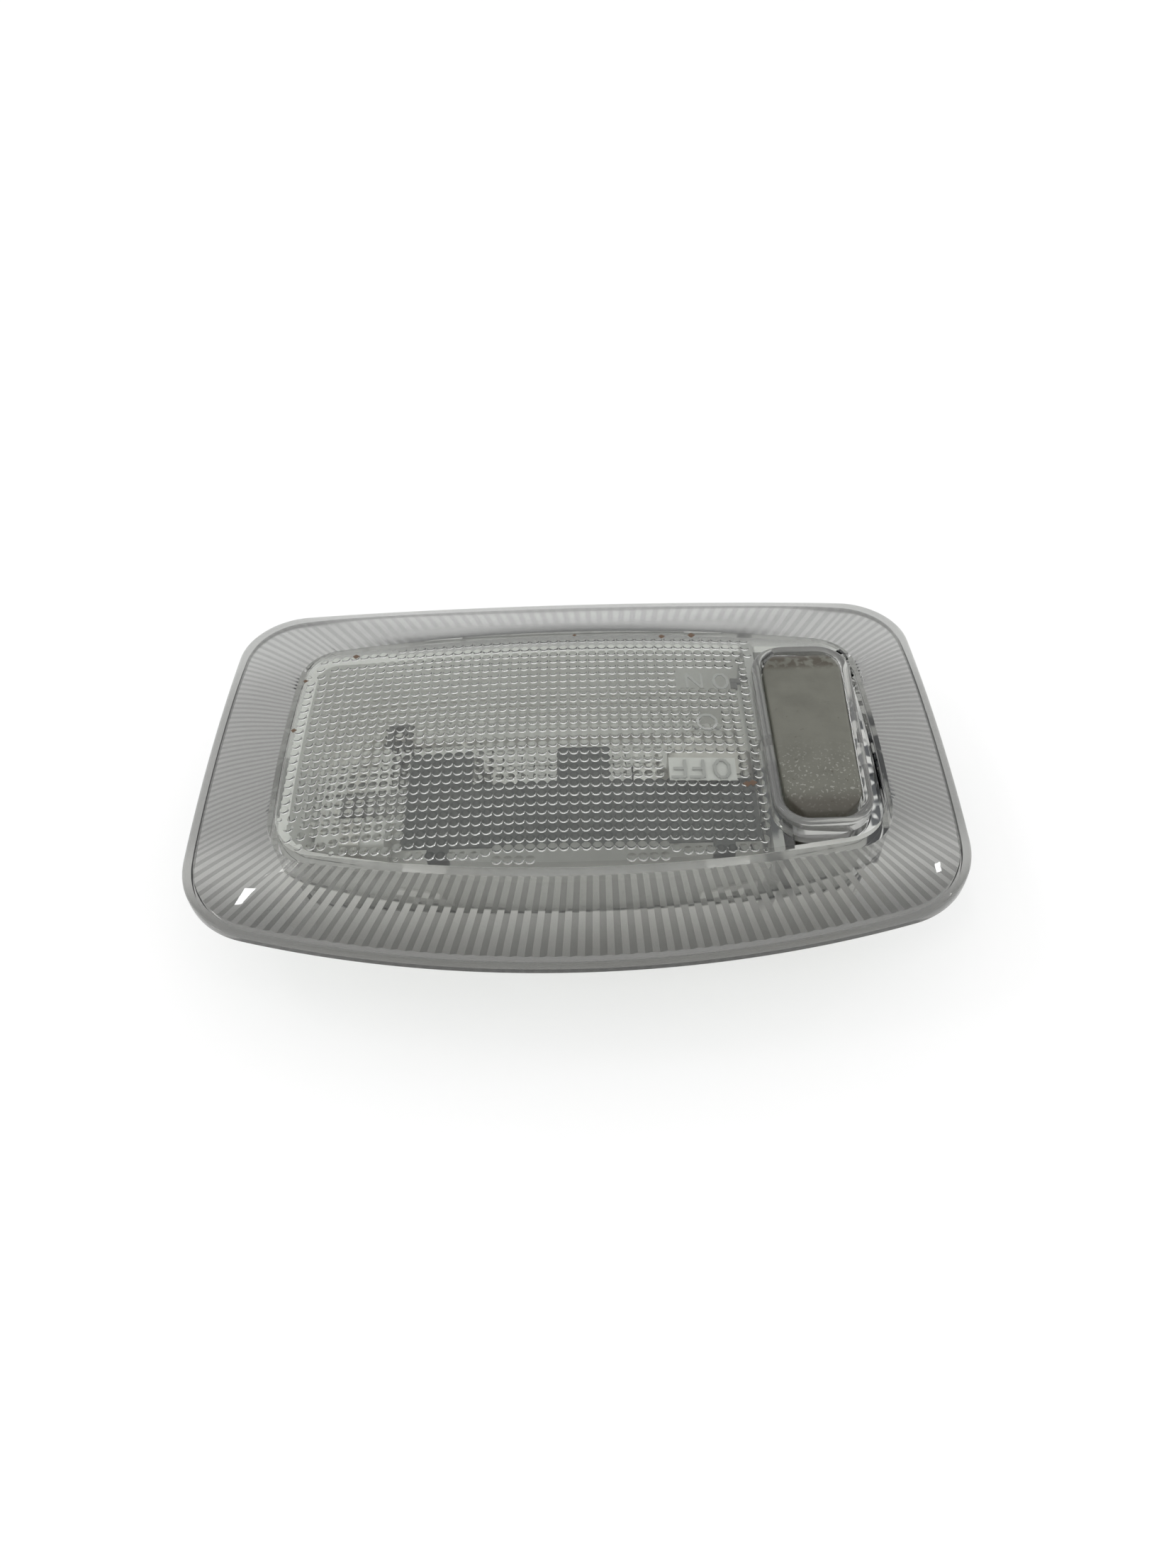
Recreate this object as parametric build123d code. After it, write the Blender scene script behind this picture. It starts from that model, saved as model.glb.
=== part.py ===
from build123d import *
import math
import os

# Roof lamp, lying on its back: +Z out of the lens, +X along the long side towards the switch,
# -Y the bowed side. The origin is the middle of the flat back. All sizes are in millimetres and degrees.

# Lens outline and section
rim_length = 147.0
rim_depth = 94.4
front_bow = 12.0
back_bow = 2.7
side_bow = 1.46
rim_front_corner = 18.0
rim_back_corner = 13.5
end_border = 14.75
side_border = 15.4
field_shift = 0.85
field_front_corner = 11.0
field_back_corner = 8.0
lip_height = 3.0
lip_wall = 2.4
slope_rise = 9.7
crown_rise = 10.9
crown_fall_along = 5.66
crown_fall_across = 3.74
lens_wall = 2.2
skirt_wall = 1.6
skirt_drop = 4.0

# Light-spreading flutes under the border
front_flutes = 46
side_flutes = 38
corner_flutes = 9
flute_depth = 0.7

# Housing
base_depth = 20.0
base_wall = 1.8
floor_wall = 2.0
fit_gap = 0.2
wall_rise = 3.6
catch_length = 8.0
catch_height = 1.6
catch_reach = 0.9
catch_spacing = 56.0
catch_drop = 1.6

# Switch place, opening and collar
switch_inset = 13.6
opening_width = 15.8
opening_taper = 2.0
opening_length = 44.0
opening_end_flat = 5.8
collar_wall = 1.5
collar_rise = 9.9
collar_round = 0.6
sleeve_rise = 5.3

# Rocker and its bearing
pivot_rise = 3.0
tilt_limit = 9.0
rocker_gap = 0.4
rocker_corner_ease = 1.8
rocker_rise = 10.9
rocker_dish = 0.5
rocker_end_round = 2.4
rocker_edge_round = 0.8
rocker_wall = 1.5
rocker_drop = 0.2
trunnion_radius = 1.4
trunnion_length = 2.1
running_gap = 0.05
bearing_gap = 0.5
bearing_wall = 2.0
bearing_length = 14.0
bearing_cover = 1.4

# Detent plunger, its spring and the detent block
stem_radius = 3.6
plunger_radius = 1.9
plunger_length = 8.0
detent_reach = 12.0
detent_gap = 0.25
detent_width = 6.0
detent_length = 16.0
detent_height = 1.6
stem_cover = 1.2
spring_length = 8.0
spring_wire = 0.5
spring_turns = 5
spring_gap = 0.15

# Festoon bulb
bulb_length = 41.0
glass_length = 26.0
glass_radius = 5.2
glass_wall = 0.6
cap_radius = 4.2
cap_tip_radius = 1.5
cap_wall = 0.5
cap_cone = 4.0
cap_lap = 1.4
bulb_drop = 6.0
lead_radius = 0.25
filament_radius = 0.6
filament_length = 9.0

# Stamped strips and their rivets
strip_metal = 0.5
strip_bend = 0.8
holder_width = 6.0
holder_gap = 1.0
holder_drop = 0.5
holder_hook_rise = 5.0
holder_hook_reach = 3.0
holder_hook_drop = 1.8
post_length = 4.0
leaf_place = 18.8
strip_width = 3.0
strip_front_gap = 10.7
strip_back_gap = 4.7
rivet_radius = 1.1
rivet_head = 1.9
rivet_rise = 0.7

# Contact bridge on the rocker
bridge_drop = 4.0
bridge_end = 1.0
bridge_width = 9.4
bridge_play = 0.58
bridge_button_radius = 1.2
bridge_button_height = 0.6
shoulder_radius = 4.4
brush_gap = 0.8
brush_offset = 4.4
pad_width = 4.0
pad_length = 4.0
pad_lead = 4.5

# Socket for the car's connector
socket_inset = 11.9
socket_width = 14.0
socket_length = 20.0
socket_height = 9.0
socket_wall = 1.5
pin_spacing = 5.0
pin_width = 2.8
pin_metal = 0.8
pin_end_gap = 1.0

# Heat shield between the bulb and the front half of the lens
shield_rise = 5.0
shield_left_gap = 3.0
shield_right_gap = 2.0
shield_front_gap = 1.6
shield_step_x = -19.5
shield_step_back_y = -1.5
shield_back_y = -9.0
shield_tower_x = 1.6
shield_tower_width = 10.0
shield_tower_back_y = 0.0
shield_corner = 0.8
leg_width = 4.0
leg_inset = 7.0
leg_gap = 2.8
leg_foot = 5.0

# Fixing holes and roof clips
screw_spacing = 48.0
screw_x = -2.0
screw_gap = 8.0
screw_radius = 2.2
boss_radius = 4.2
boss_height = 3.0
clip_width = 12.0
clip_metal = 0.6
clip_pad = 1.2
clip_slot_gap = 0.1
clip_tab = 2.2
clip_foot_rise = 4.0
clip_knee_rise = 12.0
clip_crest_rise = 15.0
clip_end_rise = 17.8
clip_reach = 3.2

# Values worked out from the sizes above
rim_z = base_depth
crown_z = rim_z + crown_rise
bend_along = (rim_length**2 / 4 + crown_fall_along**2) / (2 * crown_fall_along)
bend_across = (rim_depth**2 / 4 + crown_fall_across**2) / (2 * crown_fall_across)
field_length = rim_length - 2 * end_border
field_depth = rim_depth - 2 * side_border
field_left = field_shift - field_length / 2
field_right = field_shift + field_length / 2
skirt_z = rim_z - skirt_drop
floor_z = floor_wall
wall_z = rim_z + wall_rise
tray_inset = skirt_wall + fit_gap + base_wall
pivot_z = rim_z + pivot_rise
rocker_z = rim_z + rocker_rise
opening_corner = (opening_width - opening_end_flat) / 2
rocker_low_z = rim_z - rocker_drop
rocker_width = opening_width - 2 * rocker_gap
bearing_z = pivot_z + bearing_cover
bearing_inner = rocker_width / 2 + bearing_gap
tip_z = pivot_z - detent_reach
bulb_z = rim_z - bulb_drop
holder_z = rim_z - holder_drop
switch_x = field_right - switch_inset
socket_x = field_left + socket_inset
partition_x = switch_x - bearing_inner - bearing_wall
left_reach = -(socket_x + socket_width / 2 + post_length)
right_reach = partition_x - holder_gap
tray_half = field_depth / 2 - tray_inset
front_strip_y = strip_front_gap - tray_half
back_strip_y = tray_half - strip_back_gap
pad_outer = -front_strip_y - pad_lead
pad_middle = pad_outer - pad_length / 2
bridge_length = 2 * (pad_outer - bridge_end)
bridge_gap = pad_middle * math.sin(math.radians(tilt_limit)) + bridge_play
screw_y = back_strip_y - screw_gap
shield_z = rim_z + shield_rise
shield_left = shield_left_gap - left_reach
shield_right = partition_x - shield_right_gap
leg_y = leg_gap - tray_half
shield_front_y = leg_y + shield_front_gap
leg_places = (shield_left + leg_inset, shield_right - leg_inset)
margin = 5.0


def bowed_outline(middle_x, length, depth, front_corner, back_corner):
    """Four shallow arcs, deepest in front, with round corners."""
    stretch = (length / rim_length) ** 2
    left_x = middle_x - length / 2 + side_bow * stretch
    right_x = middle_x + length / 2 - side_bow * stretch
    front_y = front_bow * stretch - depth / 2
    back_y = depth / 2 - back_bow * stretch
    middle_y = (front_y + back_y) / 2
    front = ThreePointArc((left_x, front_y), (middle_x, -depth / 2), (right_x, front_y))
    right = ThreePointArc((right_x, front_y), (middle_x + length / 2, middle_y), (right_x, back_y))
    back = ThreePointArc((right_x, back_y), (middle_x, depth / 2), (left_x, back_y))
    left = ThreePointArc((left_x, back_y), (middle_x - length / 2, middle_y), (left_x, front_y))
    outline = make_face([front, right, back, left])
    outline = fillet(outline.vertices().sort_by(Axis.Y)[:2], front_corner)
    return fillet(outline.vertices().sort_by(Axis.Y)[-2:], back_corner)


def round_edges(outline):
    """Edges of an outline in order, from the front one round by the right."""
    edges = outline.wire().order_edges()
    first = min(range(len(edges)), key=lambda index: edges[index].center().Y)
    edges = edges[first:] + edges[:first]
    return edges if edges[1].center().X > edges[0].center().X else edges[:1] + edges[:0:-1]


def rim_outline(inset=0.0):
    corners = (rim_front_corner - inset, rim_back_corner - inset)
    return bowed_outline(0, rim_length - 2 * inset, rim_depth - 2 * inset, *corners)


def field_outline(inset=0.0):
    """Inner end of the border, moved a little towards the switch."""
    corners = (field_front_corner - inset, field_back_corner - inset)
    return bowed_outline(field_shift, field_length - 2 * inset, field_depth - 2 * inset, *corners)


def upright(outline, low, high):
    """Prism on a plan outline between two heights."""
    return Pos(0, 0, low) * extrude(outline, high - low, dir=(0, 0, 1))


def block(x_low, x_high, y_low, y_high, z_low, z_high):
    middle = Pos((x_low + x_high) / 2, (y_low + y_high) / 2, (z_low + z_high) / 2)
    return middle * Box(x_high - x_low, y_high - y_low, z_high - z_low)


def drop_of(radius, reach):
    """How far an arc has fallen at a distance from its top."""
    return radius - math.sqrt(radius**2 - reach**2)


def crown_height(x, y, top):
    return top - drop_of(bend_along, x) - drop_of(bend_across, y)


def crown_block(top):
    """Everything below a crown that is bent along and across the lamp."""
    reach = rim_depth / 2 + margin
    edge_z = top - drop_of(bend_across, reach)
    arc = ThreePointArc((-reach, edge_z), (0, top), (reach, edge_z))
    sides = Polyline((reach, edge_z), (reach, -margin), (-reach, -margin), (-reach, edge_z))
    profile = Plane.YZ * make_face([arc, sides])
    axis = Axis((0, 0, top - bend_along), (0, 1, 0))
    half_turn = math.degrees(math.asin((rim_length / 2 + margin) / (bend_along - top - margin)))
    return revolve(profile.rotate(axis, -half_turn), axis, 2 * half_turn)


def flute_places(outline):
    """Points half a flute apart round an outline, edge by edge, so that flutes fan out at the corners."""
    counts = {"front": front_flutes, "side": side_flutes, "corner": corner_flutes}
    edges = round_edges(outline)
    longest = sorted(edges, key=lambda edge: edge.length)[-4:]
    middle = sum(edge.center().Y for edge in longest) / 4
    points = []
    for edge, after in zip(edges, edges[1:] + edges[:1]):
        kind = "corner"
        if edge in longest:
            kind = "side" if abs(edge.center().X) > abs(edge.center().Y - middle) else "front"
        steps = 2 * counts[kind]
        ends_at_next = min((edge @ 1 - after @ 0).length, (edge @ 1 - after @ 1).length) < 1e-4
        for step in range(steps):
            share = step / steps
            points.append(edge @ (share if ends_at_next else 1 - share))
    return points


def fluted_ring():
    """Space under the border: flat below, and a zigzag of flutes from the lip up to the skirt above."""
    outer = flute_places(rim_outline(lip_wall))
    inner = flute_places(field_outline())
    border_slope = (slope_rise - lip_height) / side_border
    lip_z = rim_z + lip_height + border_slope * lip_wall - lens_wall
    low_z = skirt_z - margin
    top_out, top_in, low_out, low_in = [], [], [], []
    for index, (out, inn) in enumerate(zip(outer, inner)):
        lift = -flute_depth * (index % 2)
        skin = min(rim_z + slope_rise, crown_height(inn.X, inn.Y, crown_z))
        top_out.append(Vector(out.X, out.Y, lip_z + lift))
        top_in.append(Vector(inn.X, inn.Y, skin - lens_wall + lift))
        low_out.append(Vector(out.X, out.Y, low_z))
        low_in.append(Vector(inn.X, inn.Y, low_z))
    faces = [Face(Wire.make_polygon(low_out), [Wire.make_polygon(low_in)])]
    for here in range(len(outer)):
        there = (here + 1) % len(outer)
        for corners in (
            (top_out[here], top_out[there], top_in[there]),
            (top_out[here], top_in[there], top_in[here]),
            (low_out[here], low_out[there], top_out[there], top_out[here]),
            (low_in[here], low_in[there], top_in[there], top_in[here]),
        ):
            faces.append(Face(Wire.make_polygon(corners)))
    return Solid(Shell(faces))


def switch_plan(grow, corner):
    """Plan of the switch at a margin from its opening, with the outer side leaning in towards the front."""
    half_x = opening_width / 2 + grow
    half_y = opening_length / 2 + grow
    lean = opening_taper * half_y / opening_length
    corners = [(-half_x, -half_y), (half_x - lean, -half_y), (half_x + lean, half_y), (-half_x, half_y)]
    plan = make_face(Polyline(*corners, close=True))
    return Pos(switch_x, 0) * fillet(plan.vertices(), corner)


def switch_outline(grow):
    return switch_plan(grow, opening_corner + grow)


def lens_catch_windows():
    windows = []
    for x in (-catch_spacing / 2, catch_spacing / 2):
        half = catch_length / 2 + 2 * fit_gap
        low = rim_z - catch_drop - catch_height / 2 - 2 * fit_gap
        high = rim_z - catch_drop + catch_height / 2 + 2 * fit_gap
        windows.append(block(x - half, x + half, -field_depth, field_depth, low, high))
    return windows


def make_lens():
    rim = rim_outline()
    field = field_outline()
    low_wire = Wire(round_edges(Pos(0, 0, rim_z + lip_height) * rim))
    high_wire = Wire(round_edges(Pos(0, 0, rim_z + slope_rise) * field))
    slope = Solid.make_loft([low_wire, high_wire], ruled=True)
    body = upright(rim, rim_z, rim_z + lip_height) + slope
    body += upright(field, rim_z + slope_rise, crown_z + margin)
    body = body & crown_block(crown_z)
    body += upright(rim_outline(lip_wall + 1), skirt_z, rim_z)
    body -= upright(field_outline(skirt_wall), skirt_z - margin, crown_z) & crown_block(crown_z - lens_wall)
    body -= fluted_ring()
    collar = upright(switch_outline(collar_wall), rim_z + sleeve_rise, rim_z + collar_rise)
    collar = fillet(collar.faces().sort_by(Axis.Z)[-1].edges(), collar_round)
    body += collar
    body -= upright(switch_outline(0), rim_z, crown_z + margin)
    return body - lens_catch_windows()


def tray_shell():
    """Housing walls: a body flush with the skirt, and a collar inside it that the skirt slides over."""
    inner = field_outline(skirt_wall + fit_gap)
    shell = upright(field_outline(), 0, skirt_z) + upright(inner, skirt_z, wall_z)
    return shell - upright(tray_outline(), floor_z, wall_z + margin)


def tray_outline():
    return field_outline(tray_inset)


def tray_catches():
    """Ribs on the front and back walls that snap into the windows of the skirt."""
    low = rim_z - catch_drop - catch_height / 2
    high = low + catch_height
    reach = field_outline(skirt_wall + fit_gap - catch_reach)
    ribs = upright(reach, low, high) - upright(tray_outline(), low - margin, high + margin)
    spans = []
    for x in (-catch_spacing / 2, catch_spacing / 2):
        spans.append(block(x - catch_length / 2, x + catch_length / 2, -field_depth, field_depth, low, high))
    return [ribs & span for span in spans]


def bearing_walls():
    """Partition and end block with open slots for the rocker's trunnions."""
    inside = upright(field_outline(skirt_wall + fit_gap), floor_z / 2, bearing_z)
    partition_end = partition_x + bearing_wall
    partition = block(partition_x, partition_end, -field_depth, field_depth, floor_z / 2, bearing_z)
    end_x = switch_x + bearing_inner
    half = bearing_length / 2
    walls = (partition + block(end_x, field_right, -half, half, floor_z / 2, bearing_z)) & inside
    notches = []
    for y, width in ((front_strip_y, strip_width), (back_strip_y, strip_width), (0, holder_width)):
        half = width / 2 + fit_gap
        top = floor_z + strip_metal + fit_gap
        notches.append(block(partition_x - margin, partition_end + 1, y - half, y + half, floor_z, top))
    return walls - notches


def rocker_clearance():
    """Open slots for the trunnions, and room for the rocker's ends to swing in the tray's corners."""
    slot_radius = trunnion_radius + running_gap
    reach = rocker_width / 2 + trunnion_length + bearing_gap
    low_x = min(partition_x, switch_x - reach) - 1
    length = switch_x + reach - low_x
    slot = block(low_x, low_x + length, -slot_radius, slot_radius, pivot_z, bearing_z + margin)
    slot_end = Pos(low_x + length / 2, 0, pivot_z) * Rot(0, 90, 0) * Cylinder(slot_radius, length)
    return [slot, slot_end, upright(switch_outline(0), skirt_z, wall_z + margin) - bearing_walls()]


def detent_block():
    """Rest for the plunger, with a shallow valley at each of the three switch positions."""
    half_x = detent_width / 2
    half_y = detent_length / 2
    body = block(switch_x - half_x, switch_x + half_x, -half_y, half_y, floor_z / 2, tip_z + detent_height)
    body -= across(detent_reach + plunger_radius + running_gap, pivot_z, 0)
    for angle in (-tilt_limit, 0, tilt_limit):
        y = detent_reach * math.sin(math.radians(angle))
        z = pivot_z - detent_reach * math.cos(math.radians(angle))
        body -= across(plunger_radius + detent_gap, z, y)
    return body


def across(radius, z, y):
    """Cylinder along X through the switch bay."""
    return Pos(switch_x, y, z) * Rot(0, 90, 0) * Cylinder(radius, detent_width + 2)


def socket_block():
    """Recess in the back for the car's connector, with the posts that carry the left bulb holder."""
    low_x, high_x = socket_x - socket_width / 2, socket_x + socket_width / 2
    half = socket_length / 2
    body = block(low_x, high_x, -half, half, floor_z / 2, socket_height)
    body = fillet(body.edges().filter_by(Axis.X).group_by(Axis.Z)[-1], strip_bend)
    post_half = holder_width / 2 + socket_wall
    post_end = strip_metal + fit_gap - left_reach
    return body + block(high_x - 1, post_end, -post_half, post_half, floor_z / 2, socket_height)


def socket_recess():
    low_x, high_x = socket_x - socket_width / 2, socket_x + socket_width / 2
    half = socket_length / 2 - socket_wall
    top = socket_height - socket_wall
    recess = block(low_x + socket_wall, high_x - socket_wall, -half, half, -1, top)
    return [recess] + [pin(y, fit_gap / 2) for y in (-pin_spacing, 0, pin_spacing)]


def pin(y, grow):
    """Blade of a strip that goes down through the socket's roof."""
    half_x = pin_metal / 2 + grow
    half_y = pin_width / 2 + grow
    top = socket_height + strip_metal
    return block(socket_x - half_x, socket_x + half_x, y - half_y, y + half_y, pin_end_gap, top)


def screw_places():
    return [(screw_x - screw_spacing / 2, screw_y), (screw_x + screw_spacing / 2, screw_y)]


def rivet_places():
    """Top of the strip or shield under each rivet."""
    rows = (leg_y + leg_foot - rivet_head, front_strip_y, back_strip_y)
    return [(x, y, floor_z + strip_metal) for y in rows for x in leg_places]


def rivet_holes():
    depth = strip_metal + floor_wall + 2
    return [Pos(x, y, z) * Cylinder(rivet_radius + running_gap, 2 * depth) for x, y, z in rivet_places()]


def at_end(side, shape):
    """Put a shape, drawn outwards from x = 0, at the left or right end of the housing."""
    turned_shape = shape if side > 0 else mirror(shape, about=Plane.YZ)
    return Pos(field_right if side > 0 else field_left) * turned_shape


def clip_pads():
    half = clip_width / 2 + clip_pad
    pad = block(-tray_inset, clip_pad, -half, half, 0, skirt_z - clip_pad)
    return [at_end(side, pad) for side in (-1, 1)]


def clip_slots():
    half = clip_width / 2 + clip_slot_gap
    low = clip_foot_rise - clip_metal / 2 - clip_slot_gap
    high = clip_foot_rise + clip_metal / 2 + clip_slot_gap
    slot = block(clip_pad - clip_tab - clip_slot_gap, clip_pad + 1, -half, half, low, high)
    mouth = block(clip_pad - strip_bend, clip_pad + 1, -half, half, low, high + strip_bend)
    return [at_end(side, slot + mouth) for side in (-1, 1)]


def make_base_housing():
    body = tray_shell() + tray_catches() + bearing_walls() + detent_block() + socket_block() + clip_pads()
    for x, y in screw_places():
        body += Pos(x, y, floor_z / 2) * Cylinder(
            boss_radius, floor_z / 2 + boss_height, align=(Align.CENTER, Align.CENTER, Align.MIN)
        )
        body -= Pos(x, y) * Cylinder(screw_radius, 4 * (floor_z + boss_height))
    return body - socket_recess() - rivet_holes() - clip_slots() - rocker_clearance()


def rocker_profile(inset):
    """Side view of the rocker: ends struck from the pivot, and a dished top with round ends."""
    radius = rocker_end_radius() - inset
    top = rocker_z - inset - pivot_z
    low = rocker_low_z - pivot_z
    top_y = math.sqrt(radius**2 - top**2)
    low_y = math.sqrt(radius**2 - low**2)
    back = ThreePointArc((low_y, low), (radius, 0), (top_y, top))
    dish = ThreePointArc((top_y, top), (0, top - rocker_dish), (-top_y, top))
    front = ThreePointArc((-top_y, top), (-radius, 0), (-low_y, low))
    profile = make_face([back, dish, front, Line((-low_y, low), (low_y, low))])
    round_end = max(rocker_end_round - inset, rocker_end_round / 3)
    profile = fillet(profile.vertices().sort_by(Axis.Y)[-2:], round_end)
    return Plane.YZ.offset(switch_x) * Pos(0, pivot_z) * profile


def rocker_end_radius():
    """Ends clear the lens at the lowest edge of the opening."""
    half = opening_length / 2
    lens_low = crown_height(switch_x, half, crown_z - lens_wall) - pivot_z
    return math.hypot(half - rocker_gap, min(lens_low, sleeve_rise - pivot_rise))


def rocker_outline(inset):
    """Plan of the rocker, with rounder corners than the opening so that they clear it when tilted."""
    return switch_plan(-rocker_gap - inset, opening_corner - rocker_gap + rocker_corner_ease - inset)


def make_rocker():
    plan = upright(rocker_outline(0), rocker_low_z, rocker_z + margin)
    body = extrude(rocker_profile(0), rocker_width, both=True) & plan
    edge_z = rocker_z - rocker_dish - rocker_edge_round
    top_edges = [edge for edge in body.edges() if edge.center().Z > edge_z]
    body = fillet([edge for edge in top_edges if edge.length > rocker_width], rocker_edge_round)
    hollow = upright(rocker_outline(rocker_wall), rocker_low_z, rocker_z)
    body -= extrude(rocker_profile(rocker_wall), rocker_width, both=True) & hollow
    ceiling_z = rocker_z - rocker_dish - rocker_wall / 2
    body += turned(shoulder_radius, pivot_z - bridge_drop + strip_metal / 2, ceiling_z)
    body += turned(stem_radius, tip_z + stem_cover, ceiling_z)
    bore_top = tip_z + plunger_length - plunger_radius + spring_length
    body -= turned(plunger_radius + running_gap, tip_z - margin, bore_top)
    for side in (-1, 1):
        length = trunnion_length + rocker_wall / 2
        middle = side * (rocker_width / 2 + trunnion_length - length / 2)
        body += Pos(switch_x + middle, 0, pivot_z) * Rot(0, 90, 0) * Cylinder(trunnion_radius, length)
    return body


def turned(radius, low, high):
    """Upright cylinder on the switch's middle line."""
    return Pos(switch_x, 0, low) * Cylinder(radius, high - low, align=(Align.CENTER, Align.CENTER, Align.MIN))


def make_detent_plunger():
    shank = turned(plunger_radius, tip_z, tip_z + plunger_length - plunger_radius)
    return shank + Pos(switch_x, 0, tip_z) * Sphere(plunger_radius)


def make_plunger_spring():
    low = tip_z + plunger_length - plunger_radius + spring_gap + spring_wire / 2
    height = spring_length - 2 * spring_gap - spring_wire
    radius = plunger_radius - spring_gap - spring_wire / 2
    path = Pos(switch_x, 0, low) * Helix(height / spring_turns, height, radius)
    section = Plane(path @ 0, z_dir=path % 0) * Circle(spring_wire / 2)
    return sweep(section, path, is_frenet=True)


def make_contact_bridge():
    z = pivot_z - bridge_drop
    body = Pos(switch_x, 0, z) * Box(bridge_width, bridge_length, strip_metal)
    body = fillet(body.edges().filter_by(Axis.Z), strip_width / 2)
    body -= Pos(switch_x, 0, z) * Cylinder(stem_radius + running_gap, 2)
    for y in (-pad_middle, pad_middle):
        low = z - strip_metal / 2 - bridge_button_height
        body += Pos(0, y) * turned(bridge_button_radius, low, z)
    return body


def bent_strip(plane, points, width):
    """Strip of sheet metal bent along a path, centred on a plane."""
    profile = trace(FilletPolyline(*points, radius=strip_bend), strip_metal)
    return extrude(plane * profile, width / 2, both=True)


def leaf_hole(x):
    """Hole in a bulb holder's leaf that the cone of the bulb's cap sits in."""
    cone_start = bulb_length / 2 - cap_cone
    taper = (cap_radius - cap_tip_radius) / cap_cone
    radius = cap_radius - taper * (leaf_place - strip_metal / 2 - cone_start) + running_gap
    return Pos(x, 0, bulb_z) * Rot(0, 90, 0) * Cylinder(radius, 3 * strip_metal)


def make_contact_left():
    roof_z = socket_height + strip_metal / 2
    leaf_low = bulb_z - cap_radius - strip_width / 2
    points = [
        (socket_x - pin_width, roof_z),
        (-left_reach, roof_z),
        (-left_reach, holder_z),
        (-leaf_place, holder_z),
        (-leaf_place, leaf_low),
    ]
    return bent_strip(Plane.XZ, points, holder_width) - leaf_hole(-leaf_place) + pin(0, 0) + holder_hook()


def holder_hook():
    """Tab at the left holder's back edge, bent over above it."""
    top_z = holder_z + holder_hook_rise
    end_x = holder_hook_reach - left_reach
    foot = (-left_reach, holder_z - 2)
    points = [foot, (-left_reach, top_z), (end_x, top_z), (end_x, top_z - holder_hook_drop)]
    return bent_strip(Plane.XZ.offset(-holder_width / 3), points, holder_width / 3)


def make_contact_right():
    run_z = floor_z + strip_metal / 2
    leaf_low = bulb_z - cap_radius - strip_width / 2
    brush_x = switch_x - brush_offset
    brush_z = pivot_z - bridge_drop - strip_metal / 2 - brush_gap
    points = [
        (leaf_place, leaf_low),
        (leaf_place, holder_z),
        (right_reach, holder_z),
        (right_reach, run_z),
        (brush_x, run_z),
        (brush_x, brush_z),
    ]
    return bent_strip(Plane.XZ, points, holder_width) - leaf_hole(leaf_place)


def floor_strip(side, strip_y):
    """Strip from a socket pin over the socket's side, along the floor and up to a pad under the bridge."""
    roof_z = socket_height + strip_metal / 2
    run_z = floor_z + strip_metal / 2
    wall_y = side * (socket_length / 2 + strip_metal / 2)
    pad_z = pivot_z - bridge_drop - strip_metal - bridge_button_height - bridge_gap
    pin_y = side * (pin_spacing - pin_width / 2)
    pad_y = side * pad_outer
    pad_end = (side * (pad_outer - pad_length), pad_z)
    from_pin = [(pin_y, roof_z), (wall_y, roof_z), (wall_y, run_z), (strip_y, run_z)]
    to_pad = [(strip_y, run_z), (pad_y, run_z), (pad_y, pad_z), pad_end]
    body = bent_strip(Plane.YZ.offset(socket_x), from_pin, pad_width)
    body += bent_strip(Plane.YZ.offset(switch_x), to_pad, pad_width)
    run = (socket_x - pad_width / 2, switch_x + pad_width / 2)
    body += block(*run, strip_y - strip_width / 2, strip_y + strip_width / 2, floor_z, floor_z + strip_metal)
    return body + pin(side * pin_spacing, 0) - rivet_holes()


def make_heat_shield():
    """Stepped sheet above the bulb's front, on two legs bent down to the floor."""
    tower_left = shield_tower_x - shield_tower_width / 2
    tower_right = shield_tower_x + shield_tower_width / 2
    outline = Polyline(
        (shield_left, shield_front_y),
        (shield_right, shield_front_y),
        (shield_right, shield_back_y),
        (tower_right, shield_back_y),
        (tower_right, shield_tower_back_y),
        (tower_left, shield_tower_back_y),
        (tower_left, shield_back_y),
        (shield_step_x, shield_back_y),
        (shield_step_x, shield_step_back_y),
        (shield_left, shield_step_back_y),
        close=True,
    )
    face = make_face(outline)
    face = fillet(face.vertices(), shield_corner)
    body = upright(face, shield_z - strip_metal / 2, shield_z + strip_metal / 2)
    run_z = floor_z + strip_metal / 2
    for x in leg_places:
        top = [(shield_front_y + 2, shield_z), (leg_y, shield_z)]
        points = top + [(leg_y, run_z), (leg_y + leg_foot, run_z)]
        body += bent_strip(Plane.YZ.offset(x), points, leg_width)
    return body - rivet_holes()


def make_strip_rivets():
    """Rivets with low round heads, set through the floor."""
    rivets = []
    for x, y, z in rivet_places():
        dome_radius = (rivet_head**2 + rivet_rise**2) / (2 * rivet_rise)
        dome = Pos(0, 0, rivet_rise - dome_radius) * Sphere(dome_radius)
        head = dome & Pos(0, 0, rivet_rise) * Cylinder(rivet_head + 1, 2 * rivet_rise)
        shank = Cylinder(rivet_radius, z, align=(Align.CENTER, Align.CENTER, Align.MAX))
        rivets.append(Pos(x, y, z) * (head + shank))
    return Compound(children=rivets)


def along_bulb(profile):
    """Turn a half section, drawn as distance along the bulb and radius, about the bulb's axis."""
    return revolve(Plane.XZ * Pos(0, bulb_z) * profile, Axis((0, 0, bulb_z), (1, 0, 0)))


def make_bulb_glass():
    half = glass_length / 2
    neck = cap_radius - cap_wall - running_gap
    shoulder = half - cap_lap
    outer = [(0, glass_radius), (shoulder - 3, glass_radius), (shoulder, neck), (half, neck)]
    inner = [(x, radius - glass_wall) for x, radius in reversed(outer)]
    right = make_face(FilletPolyline(*outer, *inner, close=True, radius=glass_wall / 3))
    return along_bulb(right) + mirror(along_bulb(right), about=Plane.YZ)


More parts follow.
